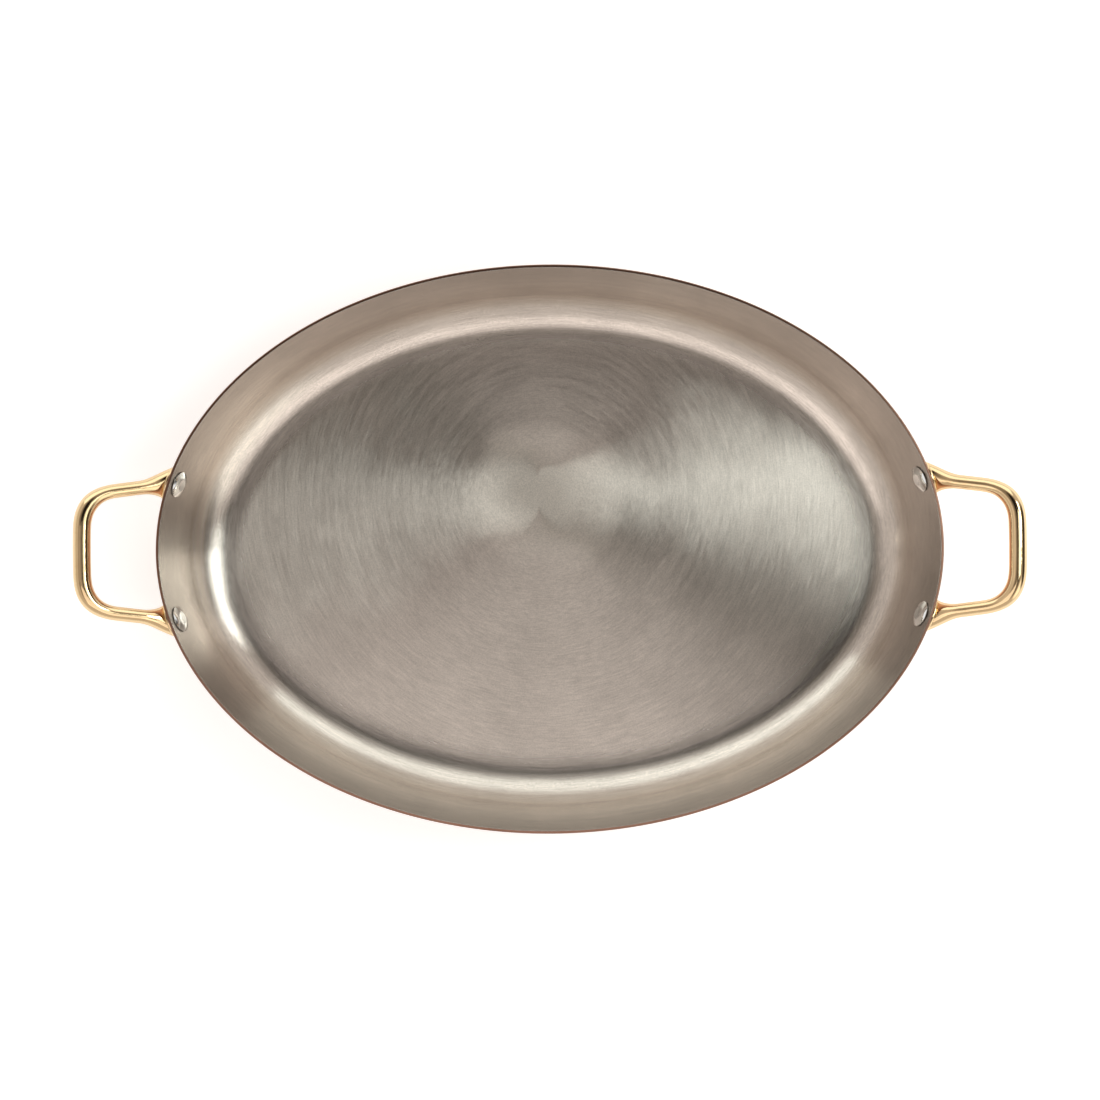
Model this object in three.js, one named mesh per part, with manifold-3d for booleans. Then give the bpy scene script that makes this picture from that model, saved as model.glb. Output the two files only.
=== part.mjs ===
// An oval serving dish of copper sheet lined with stainless steel, with two cast brass handles.
// Each handle has two feet, and one steel rivet holds each foot to the dish's flared wall.
// Millimetres, +Z up. The origin is the middle of the flat base, and the handles lie along X.
import * as THREE from "three";
import { mergeVertices } from "three/addons/utils/BufferGeometryUtils.js";
import Module from "manifold-3d";

// Dish
const RIM_LENGTH = 360;
const RIM_WIDTH = 260;
const DISH_HEIGHT = 45;
const COPPER_THICKNESS = 1.3;
const LINING_THICKNESS = 0.2;
const CORNER_RADIUS = 17;
const END_FLARE_DEGREES = 17;
const SIDE_FLARE_DEGREES = 14.5;
const RIM_ROUNDING = 0.5;

// Handles: each loop lies in a plane that climbs away from the wall
const HANDLE_REACH = 32.2;
const HANDLE_PITCH_DEGREES = 20;
const GRIP_BOW = 0.15;
const ARM_DROP = 7.6;
const ARM_SPACING = 52;
const ARM_WIDTH = 6.6;
const ARM_HEIGHT = 7.4;
const GRIP_WIDTH = 8.2;
const GRIP_HEIGHT = 9.2;
const BEND_LENGTH = 15;
const SECTION_SQUARENESS = 2.2;

// Feet: each arm spreads into a pad on the wall
const FOOT_WIDTH = 20;
const FOOT_HEIGHT = 17;
const FOOT_DROP = 10.2;
const PAD_THICKNESS = 2.2;
const PAD_EDGE_ROUNDING = 1.2;
const FLARE_LENGTH = 14;

// Rivets
const RIVET_SPACING = 63;
const RIVET_DROP = 8.7;
const HEAD_DIAMETER = 12;
const HEAD_HEIGHT = 1.5;
const HEAD_EDGE = 0.25;
const DIMPLE_DIAMETER = 5.6;
const DIMPLE_DEPTH = 0.25;
const SHANK_DIAMETER = 4.6;
const SHANK_IN_FOOT = 4;

// Clearances
const SEAT_GAP = 0.3;
const HOLE_CLEARANCE = 0.3;

// Facets
const OVAL_SEGMENTS = 96;
const CORNER_STEPS = 6;
const RIM_STEPS = 3;
const SECTION_SIDES = 16;
const GRIP_STEPS = 13;
const ROUND_SEGMENTS = 24;
const DOME_STEPS = 4;
const DIMPLE_STEPS = 2;

const wasm = await Module();
wasm.setup();

const rimX = RIM_LENGTH / 2;
const rimY = RIM_WIDTH / 2;
const sheet = COPPER_THICKNESS + LINING_THICKNESS;
const endFlare = THREE.MathUtils.degToRad(END_FLARE_DEGREES);
const sideFlare = THREE.MathUtils.degToRad(SIDE_FLARE_DEGREES);
const pitch = THREE.MathUtils.degToRad(HANDLE_PITCH_DEGREES);

// Solids and geometries

function solidOf(geometry) {
  const bare = geometry.clone();
  bare.deleteAttribute("normal");
  bare.deleteAttribute("uv");
  const merged = mergeVertices(bare, 1e-4);
  return new wasm.Manifold(
    new wasm.Mesh({
      numProp: 3,
      vertProperties: merged.attributes.position.array,
      triVerts: new Uint32Array(merged.index.array),
    }),
  );
}

function geometryOf(solid) {
  const mesh = solid.getMesh();
  const geometry = new THREE.BufferGeometry();
  geometry.setAttribute("position", new THREE.BufferAttribute(mesh.vertProperties, 3));
  geometry.setIndex(new THREE.BufferAttribute(mesh.triVerts, 1));
  geometry.computeVertexNormals();
  return geometry;
}

// Joins closed rings of points, all of one length, into a skin, and closes each end on a point.
function loft(rings, firstPoint, lastPoint) {
  const around = rings[0].length;
  const positions = [firstPoint, ...rings.flat(), lastPoint].flatMap((p) => [p.x, p.y, p.z]);
  const last = rings.length * around + 1;
  const index = [];
  for (let k = 0; k < around; k++) {
    const next = (k + 1) % around;
    index.push(0, 1 + next, 1 + k);
    for (let j = 0; j < rings.length - 1; j++) {
      const low = 1 + j * around;
      const high = low + around;
      index.push(low + k, low + next, high + next);
      index.push(low + k, high + next, high + k);
    }
    const top = last - around;
    index.push(top + k, top + next, last);
  }
  const geometry = new THREE.BufferGeometry();
  geometry.setAttribute("position", new THREE.Float32BufferAttribute(positions, 3));
  geometry.setIndex(index);
  return geometry;
}

function mirroredX(solid) {
  return solid.mirror([1, 0, 0]);
}

function mirroredY(solid) {
  return solid.mirror([0, 1, 0]);
}

// The oval: an ellipse at the rim. Every other line round the dish is set off square to the rim.

function ovalNormal(turn) {
  return new THREE.Vector3(Math.cos(turn) / rimX, Math.sin(turn) / rimY, 0).normalize();
}

function ovalPoint(turn, offset, height) {
  const normal = ovalNormal(turn);
  return new THREE.Vector3(
    rimX * Math.cos(turn) + offset * normal.x,
    rimY * Math.sin(turn) + offset * normal.y,
    height,
  );
}

// The wall leans out further at the ends than at the sides.
function flareAt(turn) {
  return THREE.MathUtils.lerp(sideFlare, endFlare, Math.cos(turn) ** 2);
}

// A body round the dish's middle: profileAt gives the same list of offsets and heights for each flare.
function ovalBody(profileAt, firstHeight, lastHeight) {
  const slices = Array.from({ length: OVAL_SEGMENTS }, (_, k) => {
    const turn = (2 * Math.PI * k) / OVAL_SEGMENTS;
    return profileAt(flareAt(turn)).map(([offset, height]) => ovalPoint(turn, offset, height));
  });
  const rings = slices[0].map((_, j) => slices.map((slice) => slice[j]));
  return solidOf(
    loft(rings, new THREE.Vector3(0, 0, firstHeight), new THREE.Vector3(0, 0, lastHeight)),
  );
}

// The sheet's profile. Each skin lies a depth below the inside surface.

const cornerHeight = sheet + CORNER_RADIUS;

// How far inside the rim the centre of the arc between floor and wall lies
function cornerInset(flare) {
  const wallRise = DISH_HEIGHT - RIM_ROUNDING - cornerHeight;
  const reach = cornerHeight - RIM_ROUNDING + wallRise * Math.sin(flare);
  return RIM_ROUNDING + reach / Math.cos(flare);
}

function wallOffset(depth, height, flare) {
  const radius = CORNER_RADIUS + depth;
  const rise = (height - cornerHeight) * Math.sin(flare);
  return (radius + rise) / Math.cos(flare) - cornerInset(flare);
}

function cornerArc(depth, flare) {
  const radius = CORNER_RADIUS + depth;
  return Array.from({ length: CORNER_STEPS + 1 }, (_, i) => {
    const angle = ((Math.PI / 2 - flare) * i) / CORNER_STEPS;
    return [
      radius * Math.sin(angle) - cornerInset(flare),
      cornerHeight - radius * Math.cos(angle),
    ];
  });
}

function rimEdge(flare) {
  return Array.from({ length: RIM_STEPS + 1 }, (_, i) => {
    const angle = -flare + ((Math.PI / 2 + flare) * i) / RIM_STEPS;
    return [
      RIM_ROUNDING * (Math.cos(angle) - 1),
      DISH_HEIGHT + RIM_ROUNDING * (Math.sin(angle) - 1),
    ];
  });
}

// The whole dish without its hollow
function dishBlank() {
  const profileAt = (flare) => [...cornerArc(sheet, flare), ...rimEdge(flare)];
  return ovalBody(profileAt, 0, DISH_HEIGHT);
}

// What fills the dish to past the rim, down to the skin at this depth
function filling(depth) {
  const top = DISH_HEIGHT + CORNER_RADIUS;
  const profileAt = (flare) => [
    ...cornerArc(depth, flare),
    [wallOffset(depth, top, flare), top],
  ];
  return ovalBody(profileAt, sheet - depth, top);
}

function copperShell() {
  return dishBlank().subtract(filling(LINING_THICKNESS));
}

function steelLining() {
  return dishBlank().intersect(filling(LINING_THICKNESS)).subtract(filling(0));
}

// The dish grown by the gap that a foot keeps to it, and carried up past the rim
function dishPlug() {
  const depth = sheet + SEAT_GAP;
  const shoulder = DISH_HEIGHT - RIM_ROUNDING;
  const top = DISH_HEIGHT + FOOT_HEIGHT;
  const profileAt = (flare) => [
    ...cornerArc(depth, flare),
    [wallOffset(depth, shoulder, flare), shoulder],
    [SEAT_GAP, DISH_HEIGHT],
    [SEAT_GAP, top],
  ];
  return ovalBody(profileAt, -SEAT_GAP, top);
}

// A place on the outside of the wall, this far from the long axis and below the rim, with the
// directions there: out of the wall, along it on the level, and up its slope
function wallPlace(side, drop) {
  const height = DISH_HEIGHT - drop;
  const pointAt = (turn) => ovalPoint(turn, wallOffset(sheet, height, flareAt(turn)), height);
  let low = 0;
  let high = Math.PI / 2;
  for (let i = 0; i < 40; i++) {
    const middle = (low + high) / 2;
    if (pointAt(middle).y < side) low = middle;
    else high = middle;
  }
  const flare = flareAt(low);
  const level = ovalNormal(low);
  const lift = new THREE.Vector3(0, 0, 1);
  return {
    turn: low,
    point: pointAt(low),
    along: new THREE.Vector3(-level.y, level.x, 0),
    out: level.clone().multiplyScalar(Math.cos(flare)).addScaledVector(lift, -Math.sin(flare)),
    up: level.clone().multiplyScalar(Math.sin(flare)).addScaledVector(lift, Math.cos(flare)),
  };
}

const rivetPlace = wallPlace(RIVET_SPACING / 2, RIVET_DROP);
const footPlace = wallPlace(RIVET_SPACING / 2, FOOT_DROP);
const armPlace = wallPlace(RIVET_SPACING / 2, ARM_DROP);

// Rivets: drawn along Y, with Y = 0 at the outside of the wall and the foot on the plus side

const headRadius = HEAD_DIAMETER / 2;
const dimpleRadius = DIMPLE_DIAMETER / 2;
const shankRadius = SHANK_DIAMETER / 2;

// The wall is hollow under the head, so the head stands off by the depth of that hollow as well.
const wallRadius =
  Math.hypot(rimX * Math.sin(rivetPlace.turn), rimY * Math.cos(rivetPlace.turn)) ** 3 /
  (rimX * rimY);
const headSeat = -sheet - SEAT_GAP - headRadius ** 2 / (2 * wallRadius);

function rivetGeometry() {
  const top = headSeat - HEAD_HEIGHT;
  const dimple = Array.from({ length: DIMPLE_STEPS }, (_, i) => {
    const share = i / DIMPLE_STEPS;
    return new THREE.Vector2(dimpleRadius * share, top + DIMPLE_DEPTH * (1 - share ** 2));
  });
  const dome = Array.from({ length: DOME_STEPS + 1 }, (_, i) => {
    const radius = THREE.MathUtils.lerp(dimpleRadius, headRadius, i / DOME_STEPS);
    const fall = (radius ** 2 - dimpleRadius ** 2) / (headRadius ** 2 - dimpleRadius ** 2);
    return new THREE.Vector2(radius, top + (HEAD_HEIGHT - HEAD_EDGE) * fall);
  });
  const shank = [
    new THREE.Vector2(headRadius, headSeat),
    new THREE.Vector2(shankRadius, headSeat),
    new THREE.Vector2(shankRadius, SHANK_IN_FOOT),
    new THREE.Vector2(0, SHANK_IN_FOOT),
  ];
  return new THREE.LatheGeometry([...dimple, ...dome, ...shank], ROUND_SEGMENTS);
}

// The drilling for a rivet, from well inside the dish to this far outside the wall
function rivetHole(depth) {
  const radius = shankRadius + HOLE_CLEARANCE;
  const length = depth + HEAD_DIAMETER;
  const drill = new THREE.CylinderGeometry(radius, radius, length, ROUND_SEGMENTS);
  const third = new THREE.Vector3().crossVectors(rivetPlace.along, rivetPlace.out);
  const place = new THREE.Matrix4().makeBasis(rivetPlace.along, rivetPlace.out, third);
  const centre = rivetPlace.point
    .clone()
    .addScaledVector(rivetPlace.out, depth - length / 2);
  return solidOf(drill.applyMatrix4(place.setPosition(centre)));
}

function drilled(body) {
  const hole = rivetHole(HEAD_DIAMETER);
  const pair = hole.add(mirroredY(hole));
  return body.subtract(pair).subtract(mirroredX(pair));
}

// Handles: oval sections along a flat loop, from one foot to the other

// The loop in its own plane: x runs out from the wall and up the slope, y across the dish
function loopPath() {
  const reach = (rimX + HANDLE_REACH - armPlace.point.x) / Math.cos(pitch);
  const rootSide = armPlace.point.y;
  const cornerSide = ARM_SPACING / 2;
  const gripEnd = cornerSide - BEND_LENGTH;
  const gripX = reach - GRIP_BOW;
  const cornerX = gripX - (2 * GRIP_BOW * BEND_LENGTH) / gripEnd;
  const armEnd = cornerX - BEND_LENGTH;
  const armEndSide = THREE.MathUtils.lerp(rootSide, cornerSide, armEnd / cornerX);
  const path = new THREE.Path();
  path.moveTo(0, rootSide);
  path.lineTo(armEnd, armEndSide);
  path.quadraticCurveTo(cornerX, cornerSide, gripX, gripEnd);
  path.quadraticCurveTo(reach + GRIP_BOW, 0, gripX, -gripEnd);
  path.quadraticCurveTo(cornerX, -cornerSide, armEnd, -armEndSide);
  path.lineTo(0, -rootSide);
  return path;
}

const loop = loopPath();
const loopLength = loop.getLength();

// How far each section stands from the wall, along the loop to the middle of the grip
function sectionDistances() {
  const padStart = PAD_THICKNESS - PAD_EDGE_ROUNDING;
  const pad = [0, 0.4, 0.75, 0.95, 1].map((share) => padStart + PAD_EDGE_ROUNDING * share);
  const flareShares = [0.06, 0.13, 0.21, 0.31, 0.43, 0.58, 0.77];
  const flares = flareShares.map((share) => PAD_THICKNESS + FLARE_LENGTH * share);
  const start = PAD_THICKNESS + FLARE_LENGTH;
  const rest = Array.from({ length: GRIP_STEPS }, (_, i) =>
    THREE.MathUtils.lerp(start, loopLength / 2, i / GRIP_STEPS),
  );
  return [-sheet, ...pad, ...flares, ...rest];
}

// How much of the foot's spread is left: all of it on the pad, none on the arm
function footShare(distance) {
  const share = THREE.MathUtils.clamp((distance - PAD_THICKNESS) / FLARE_LENGTH, 0, 1);
  return (1 - share) ** 2;
}

// How much the pad's rounded edge takes off its outline
function edgeLoss(distance) {
  const start = PAD_THICKNESS - PAD_EDGE_ROUNDING;
  const share = THREE.MathUtils.clamp((distance - start) / PAD_EDGE_ROUNDING, 0, 1);
  return PAD_EDGE_ROUNDING * (1 - Math.sqrt(1 - share ** 2));
}

function mix(from, to, share) {
  return from.clone().lerp(to, share);
}

// The section at a distance from the wall, on the half of the loop with positive Y
function handleSection(distance) {
  const { lerp, clamp, smoothstep } = THREE.MathUtils;
  const share = clamp(distance / loopLength, 0, 1);
  const planar = loop.getPointAt(share);
  const heading = loop.getTangentAt(share);
  const climb = new THREE.Vector3(Math.cos(pitch), 0, Math.sin(pitch));
  const across = new THREE.Vector3(0, 1, 0);
  const armUp = new THREE.Vector3(-Math.sin(pitch), 0, Math.cos(pitch));
  const armSide = across.clone().multiplyScalar(heading.x).addScaledVector(climb, -heading.y);
  const armCentre = new THREE.Vector3(armPlace.point.x, planar.y, armPlace.point.z)
    .addScaledVector(climb, planar.x);

  const spread = footShare(distance);
  const footCentre = footPlace.point.clone();
  footCentre.x += distance / footPlace.out.x;
  const centre = mix(armCentre, footCentre, spread);
  const side = mix(armSide, footPlace.along, spread).normalize();
  const up = mix(armUp, footPlace.up, spread).normalize();

  const bend = smoothstep(Math.abs(heading.y), 0.15, 0.95);
  const barWidth = lerp(ARM_WIDTH, GRIP_WIDTH, bend);
  const barHeight = lerp(ARM_HEIGHT, GRIP_HEIGHT, bend);
  const loss = edgeLoss(distance) * spread;
  const halfWidth = lerp(barWidth, FOOT_WIDTH, spread) / 2 - loss;
  const halfHeight = lerp(barHeight, FOOT_HEIGHT, spread) / 2 - loss;
  return sectionRing(centre, side, up, halfWidth, halfHeight);
}

// A rounded oval: a superellipse, a little squarer than an ellipse
function sectionRing(centre, side, up, halfWidth, halfHeight) {
  const rounded = (value) => Math.sign(value) * Math.abs(value) ** (2 / SECTION_SQUARENESS);
  return Array.from({ length: SECTION_SIDES }, (_, k) => {
    const angle = (2 * Math.PI * k) / SECTION_SIDES;
    return centre
      .clone()
      .addScaledVector(side, halfWidth * rounded(Math.cos(angle)))
      .addScaledVector(up, halfHeight * rounded(Math.sin(angle)));
  });
}

function ringCentre(ring) {
  return ring.reduce((sum, p) => sum.add(p), new THREE.Vector3()).divideScalar(ring.length);
}

function mirrorRing(ring) {
  return ring.map((p) => new THREE.Vector3(p.x, -p.y, p.z));
}

// Half of the loop is drawn, and its mirror image in the long axis makes the other half.
function handleBlank() {
  const half = sectionDistances().map(handleSection);
  const middle = handleSection(loopLength / 2);
  const rings = [...half, middle, ...half.map(mirrorRing).reverse()];
  return solidOf(loft(rings, ringCentre(rings[0]), ringCentre(rings.at(-1))));
}

function handle() {
  const hole = rivetHole(SHANK_IN_FOOT + HOLE_CLEARANCE);
  return handleBlank().subtract(dishPlug()).subtract(hole).subtract(mirroredY(hole));
}

// Materials

const copper = new THREE.MeshStandardMaterial({
  color: 0xb87357,
  roughness: 0.28,
  metalness: 1,
});
const brushedSteel = new THREE.MeshStandardMaterial({
  color: 0xa89c8e,
  roughness: 0.38,
  metalness: 1,
});
const polishedBrass = new THREE.MeshStandardMaterial({
  color: 0xd9b26a,
  roughness: 0.12,
  metalness: 1,
});
const polishedSteel = new THREE.MeshStandardMaterial({
  color: 0xc8c4c0,
  roughness: 0.14,
  metalness: 1,
});

// Assembly

function piece(name, geometry, material) {
  const mesh = new THREE.Mesh(geometry, material);
  mesh.name = name;
  return mesh;
}

const dish = new THREE.Group();
dish.add(piece("copper_shell", geometryOf(drilled(copperShell())), copper));
dish.add(piece("steel_lining", geometryOf(drilled(steelLining())), brushedSteel));

const rightHandle = handle();
dish.add(piece("handle_right", geometryOf(rightHandle), polishedBrass));
dish.add(piece("handle_left", geometryOf(mirroredX(rightHandle)), polishedBrass));

const rivet = rivetGeometry();
for (const [end, x] of [["right", 1], ["left", -1]]) {
  for (const [side, y] of [["rear", 1], ["front", -1]]) {
    const mirror = new THREE.Vector3(x, y, 1);
    const mesh = piece(`rivet_${end}_${side}`, rivet, polishedSteel);
    mesh.position.copy(rivetPlace.point).multiply(mirror);
    mesh.quaternion.setFromUnitVectors(
      new THREE.Vector3(0, 1, 0),
      rivetPlace.out.clone().multiply(mirror),
    );
    dish.add(mesh);
  }
}

export default dish;
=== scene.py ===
"""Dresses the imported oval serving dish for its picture.

The dish is copper sheet lined with brushed steel, with two cast brass loop handles riveted on.
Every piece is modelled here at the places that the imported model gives, in metres.
"""
import math

import bpy
from bpy.props import FloatProperty, FloatVectorProperty, PointerProperty
from bpy.types import Operator, Panel, PropertyGroup
from mathutils import Matrix, Vector


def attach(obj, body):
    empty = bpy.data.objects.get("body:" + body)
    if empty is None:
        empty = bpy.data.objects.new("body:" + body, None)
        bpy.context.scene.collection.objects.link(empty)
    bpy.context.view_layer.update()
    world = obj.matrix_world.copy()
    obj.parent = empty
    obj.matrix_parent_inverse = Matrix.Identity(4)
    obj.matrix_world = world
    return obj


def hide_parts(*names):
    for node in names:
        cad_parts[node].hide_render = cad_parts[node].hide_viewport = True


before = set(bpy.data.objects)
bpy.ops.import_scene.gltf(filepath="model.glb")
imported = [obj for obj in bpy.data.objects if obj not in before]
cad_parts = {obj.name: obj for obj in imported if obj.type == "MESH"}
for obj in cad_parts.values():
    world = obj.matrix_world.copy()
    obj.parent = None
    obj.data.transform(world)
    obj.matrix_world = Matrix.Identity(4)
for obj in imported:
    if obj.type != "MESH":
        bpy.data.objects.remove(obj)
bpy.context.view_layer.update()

bl_info = {
    "name": "Oval serving dish",
    "version": (1, 0, 0),
    "blender": (4, 5, 0),
    "location": "3D View > Sidebar > Oval dish",
    "description": "Models an oval copper dish lined with steel, with cast brass handles",
    "category": "Add Mesh",
}

OVAL_SEGMENTS = 360
HANDLE_SIDES = 40
ROUND_SEGMENTS = 72
MERGE_DISTANCE = 1e-7
MIRROR_MERGE = 1e-5
# Smaller lines inside each flat end of a sheet, as shares of its size
FLAT_LINES = (0.97, 0.5)


# Sizes and colours

def length(name, description, default):
    return FloatProperty(
        name=name, description=description, default=default, min=0, unit="LENGTH", precision=5
    )


def angle(name, description, degrees):
    return FloatProperty(
        name=name, description=description, default=math.radians(degrees), subtype="ANGLE"
    )


def colour(name, description, default):
    return FloatVectorProperty(
        name=name, description=description, default=default, size=3, min=0, max=1,
        subtype="COLOR",
    )


class DishSizes(PropertyGroup):
    rim_length: length("Rim length", "Length of the dish at its rim", 0.36)
    rim_width: length("Rim width", "Width of the dish at its rim", 0.26)
    height: length("Height", "Height of the dish without its handles", 0.045)
    copper: length("Copper thickness", "Thickness of the copper sheet", 0.0013)
    lining: length("Lining thickness", "Thickness of the steel skin inside", 0.0002)
    corner_radius: length("Corner radius", "Inside radius between floor and wall", 0.017)
    end_flare: angle("End flare", "How far the wall leans out at the ends", 17)
    side_flare: angle("Side flare", "How far the wall leans out at the sides", 14.5)
    rim_rounding: length("Rim rounding", "Radius on the outer edge of the rim", 0.0005)
    burnish: length("Lining edge", "Radius on the lining's edge at the rim", 0.00012)
    seat_gap: length("Seat gap", "Gap between the wall and what is riveted to it", 0.0003)


class HandleSizes(PropertyGroup):
    reach: length("Reach", "How far the grip's middle line stands out from the rim", 0.0322)
    pitch: angle("Pitch", "How steeply the loop climbs away from the wall", 20)
    grip_bow: length("Grip bow", "How far the grip bows outwards", 0.00015)
    arm_drop: length("Arm drop", "How far below the rim the arms start", 0.0076)
    arm_spacing: length("Arm spacing", "Distance between the arms at the corners", 0.052)
    arm_width: length("Arm width", "Width of an arm, seen from above", 0.0066)
    arm_height: length("Arm height", "Thickness of an arm, seen from the side", 0.0074)
    grip_width: length("Grip width", "Width of the grip, seen from above", 0.0082)
    grip_height: length("Grip height", "Thickness of the grip", 0.0092)
    bend_length: length("Bend length", "Length that each rounded corner takes", 0.015)
    foot_width: length("Foot width", "Width of a foot on the wall", 0.020)
    foot_height: length("Foot height", "Height of a foot on the wall", 0.017)
    foot_drop: length("Foot drop", "How far below the rim a foot is centred", 0.0102)
    pad_thickness: length("Pad thickness", "Thickness of a foot at its edge", 0.0022)
    pad_rounding: length("Pad rounding", "Radius on a foot's edge", 0.0012)
    flare_length: length("Flare length", "How far a foot spreads along its arm", 0.014)


class RivetSizes(PropertyGroup):
    spacing: length("Spacing", "Distance between the two rivets at one end", 0.063)
    drop: length("Drop", "How far below the rim the rivets are", 0.0087)
    head_diameter: length("Head diameter", "Diameter of a rivet's head", 0.012)
    head_height: length("Head height", "Height of a rivet's head", 0.0015)
    head_edge: length("Head edge", "Thickness of the head at its edge", 0.00025)
    dimple_diameter: length("Dimple diameter", "Diameter of the dimple in the head", 0.0056)
    dimple_depth: length("Dimple depth", "Depth of the dimple in the head", 0.00025)
    shank_diameter: length("Shank diameter", "Diameter of a rivet's shank", 0.0046)
    shank_in_foot: length("Shank in foot", "Depth of the shank in the handle's foot", 0.004)
    clearance: length("Hole clearance", "Gap round the shank", 0.0003)


class DishColours(PropertyGroup):
    copper: colour("Copper", "Colour of the satin copper", (0.62, 0.34, 0.24))
    lining: colour("Lining", "Colour of the brushed steel", (0.66, 0.59, 0.53))
    brass: colour("Brass", "Colour of the polished brass", (0.78, 0.57, 0.33))
    rivet: colour("Rivets", "Colour of the polished steel", (0.80, 0.79, 0.77))
    table: colour("Table", "Colour of the table top", (0.86, 0.86, 0.86))


# The dish's profile. Each skin lies a depth below the inside surface of the sheet.

class Profile:
    def __init__(self, dish):
        self.dish = dish
        self.sheet = dish.copper + dish.lining
        self.corner = self.sheet + dish.corner_radius
        self.rim_x = dish.rim_length / 2
        self.rim_y = dish.rim_width / 2
        self.shoulder = dish.height - dish.rim_rounding

    def inset(self, flare):
        """How far inside the rim the centre of the arc between floor and wall lies."""
        rounding = self.dish.rim_rounding
        reach = self.corner - rounding + (self.shoulder - self.corner) * math.sin(flare)
        return rounding + reach / math.cos(flare)

    def skin(self, depth, height, flare):
        """How far out from the rim's line a skin lies at this height."""
        radius = self.dish.corner_radius + depth
        if height < self.corner - radius * math.sin(flare):
            reach = math.sqrt(max(0, radius**2 - (self.corner - height) ** 2))
        else:
            reach = (radius + (height - self.corner) * math.sin(flare)) / math.cos(flare)
        return reach - self.inset(flare)

    def outside(self, height, flare):
        """The outside skin, with the rounding at the rim."""
        rounding = self.dish.rim_rounding
        edge = height - self.shoulder
        if edge > -rounding * math.sin(flare):
            return math.sqrt(max(0, rounding**2 - edge**2)) - rounding
        return self.skin(self.sheet, height, flare)

    def ring(self, height, offset_at):
        """Half length, half width and height of the oval line at this height."""
        dish = self.dish
        return (
            self.rim_x + offset_at(height, dish.end_flare),
            self.rim_y + offset_at(height, dish.side_flare),
            height,
        )

    def skin_ring(self, depth, height):
        return self.ring(height, lambda level, flare: self.skin(depth, level, flare))

    def heights(self, depth, top, corner_steps=18, wall_steps=9):
        """Heights of the lines from the floor round the corner and up the wall."""
        radius = self.dish.corner_radius + depth
        flare = (self.dish.end_flare + self.dish.side_flare) / 2
        span = math.pi / 2 - flare
        corner = [
            self.corner - radius * math.cos(span * step / corner_steps)
            for step in range(corner_steps + 1)
        ]
        rise = top - corner[-1]
        return corner + [
            corner[-1] + rise * step / wall_steps for step in range(1, wall_steps + 1)
        ]

    def wall_place(self, side, drop):
        """A place on the outside of the wall, and the directions out, along and up it."""
        dish = self.dish
        height = dish.height - drop
        half_x, half_y, _ = self.skin_ring(self.sheet, height)
        x = half_x * math.sqrt(1 - (side / half_y) ** 2)
        level = Vector((x / half_x**2, side / half_y**2, 0)).normalized()
        turn = math.atan2(level.y * self.rim_y, level.x * self.rim_x)
        share = math.cos(turn) ** 2
        flare = dish.side_flare + (dish.end_flare - dish.side_flare) * share
        lift = Vector((0, 0, 1))
        return {
            "point": Vector((x, side, height)),
            "turn": turn,
            "out": level * math.cos(flare) - lift * math.sin(flare),
            "along": Vector((-level.y, level.x, 0)),
            "up": level * math.sin(flare) + lift * math.cos(flare),
        }


# Modelling, as by hand

def select_only(*pieces):
    """Leaves edit mode, and selects these pieces alone, with the first one active."""
    active = bpy.context.view_layer.objects.active
    if active and active.mode != "OBJECT":
        bpy.ops.object.mode_set(mode="OBJECT")
    bpy.ops.object.select_all(action="DESELECT")
    for piece in pieces:
        piece.select_set(True)
    if pieces:
        bpy.context.view_layer.objects.active = pieces[0]


def begin_line(name, ring, segments):
    """Adds an open oval line, and stays in edit mode with it selected."""
    select_only()
    bpy.ops.mesh.primitive_circle_add(vertices=segments, radius=1, fill_type="NOTHING")
    piece = bpy.context.object
    piece.name = piece.data.name = name
    bpy.ops.object.mode_set(mode="EDIT")
    bpy.ops.mesh.select_mode(type="VERT")
    bpy.ops.mesh.select_all(action="SELECT")
    bpy.ops.transform.resize(value=(ring[0], ring[1], 1), center_override=(0, 0, 0))
    bpy.ops.transform.translate(value=(0, 0, ring[2]))
    return piece


def extrude_line(old, new):
    """Extrudes the selected oval line from one ring to the next."""
    bpy.ops.mesh.extrude_region_move()
    bpy.ops.transform.resize(
        value=(new[0] / old[0], new[1] / old[1], 1), center_override=(0, 0, 0)
    )
    bpy.ops.transform.translate(value=(0, 0, new[2] - old[2]))


def close_line(ring, shares=()):
    """Closes the selected oval line with a flat face, after smaller lines inside it."""
    old = ring
    for share in shares:
        new = (ring[0] * share, ring[1] * share, ring[2])
        extrude_line(old, new)
        old = new
    bpy.ops.mesh.edge_face_add()
    bpy.ops.mesh.poke()


def close_first_line(ring, shares=()):
    """Closes the line that the piece began with, which is its only open edge by now."""
    bpy.ops.mesh.select_all(action="DESELECT")
    bpy.ops.mesh.select_non_manifold()
    close_line(ring, shares)


def draw_body(name, rings, segments, first_shares=(), last_shares=()):
    """A closed body from one oval line to the next, with both ends closed flat."""
    piece = begin_line(name, rings[0], segments)
    for old, new in zip(rings, rings[1:]):
        extrude_line(old, new)
    close_line(rings[-1], last_shares)
    close_first_line(rings[0], first_shares)
    tidy_normals(piece)
    return piece


def tidy_normals(piece):
    """Merges doubled points and turns every face outwards."""
    select_only(piece)
    bpy.ops.object.mode_set(mode="EDIT")
    bpy.ops.mesh.select_all(action="SELECT")
    bpy.ops.mesh.remove_doubles(threshold=MERGE_DISTANCE)
    bpy.ops.mesh.normals_make_consistent(inside=False)
    bpy.ops.object.mode_set(mode="OBJECT")


def apply_place(piece):
    """Moves the piece's place into its mesh, so that its object sits at the origin."""
    select_only(piece)
    bpy.ops.object.transform_apply(location=True, rotation=True, scale=True)


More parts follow.
